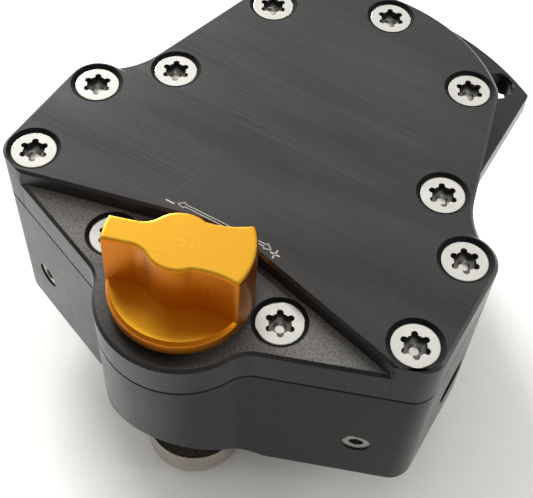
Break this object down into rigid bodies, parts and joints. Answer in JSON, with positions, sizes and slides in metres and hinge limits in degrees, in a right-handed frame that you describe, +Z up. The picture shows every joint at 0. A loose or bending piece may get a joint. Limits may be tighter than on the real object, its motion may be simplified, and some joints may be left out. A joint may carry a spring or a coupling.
{
  "type": "rotary steering damper",
  "caption": "Rotary steering damper for a motorcycle: a flat aluminium body holds a vane in oil, an arm with a rod end turns the vane, and a knob on top sets the resistance.",
  "frame": {"origin": "midway between the two mounting holes, on the underside of the tongue that they are in", "axes": "+Z up, towards the knob; +Y away from the knob, along the body's plane of symmetry; +X to the right, seen from the knob's end"},
  "size_m": [0.085, 0.1035, 0.0617],
  "materials": {
    "black_anodised": "black anodised, fine milled walls",
    "black_anodised_brushed": "black anodised over a brushed top",
    "gold_anodised": "gold anodised, satin",
    "stainless": "bright stainless",
    "ground_steel": "ground",
    "zinc_steel": "zinc plated",
    "spring_steel": "oiled",
    "black_oxide": "black oxide",
    "bronze": "machined bronze",
    "black_rubber": "matt",
    "seal_plastic": "machined"
  },
  "bodies": {
    "housing": {"body_housing": "black_anodised", "top_cover": "black_anodised_brushed", "cover_seal_ring": "black_rubber", "valve_seal_ring": "black_rubber", "corner_screws": "stainless", "rim_screws": "stainless", "valve_screws": "stainless", "upper_shaft_bush": "bronze", "lower_shaft_bush": "bronze", "shaft_lip_seal": "black_rubber", "seal_circlip": "spring_steel", "spindle_seal_ring": "black_rubber", "spindle_thrust_ring": "bronze", "click_plate": "black_oxide", "wing_plug_left": "stainless", "wing_plug_right": "stainless", "side_plug_left": "black_oxide", "side_plug_right": "black_oxide"},
    "arm": {"vane_shaft": "ground_steel", "vane_blade": "ground_steel", "vane_tip_seal": "seal_plastic", "link_arm": "black_anodised", "arm_clamp_screw": "black_oxide", "rod_end_body": "zinc_steel", "rod_end_race": "bronze", "rod_end_lock_nut": "zinc_steel"},
    "rod_ball": {"rod_end_ball": "black_oxide"},
    "knob": {"adjuster_knob": "gold_anodised", "knob_grub_screw": "black_oxide", "adjuster_spindle": "ground_steel", "click_ball": "ground_steel", "click_spring": "spring_steel"},
    "plunger": {"metering_plunger": "ground_steel"}
  },
  "joints": [
    {"name": "arm_swing", "type": "hinge", "parent": "housing", "child": "arm", "pos_m": [0, -0.0314, 0], "axis": [0, 0, 1], "range_deg": [-63, 57]},
    {"name": "ball_tilt", "type": "hinge", "parent": "arm", "child": "rod_ball", "pos_m": [0.00252, -0.07953, -0.0302], "axis": [0.9986, 0.0523, 0], "range_deg": [-12, 12]},
    {"name": "knob_turn", "type": "hinge", "parent": "housing", "child": "knob", "pos_m": [0, -0.0784, 0], "axis": [0, 0, 1], "range_deg": [-135, 135]},
    {"name": "plunger_travel", "type": "slide", "parent": "housing", "child": "plunger", "axis": [0, 0, 1], "range_m": [-0.00056, 0.00056]}
  ],
  "couplings": [
    {"joint": "knob_turn", "follows": "plunger_travel", "rad_per_m": 4188.8}
  ]
}
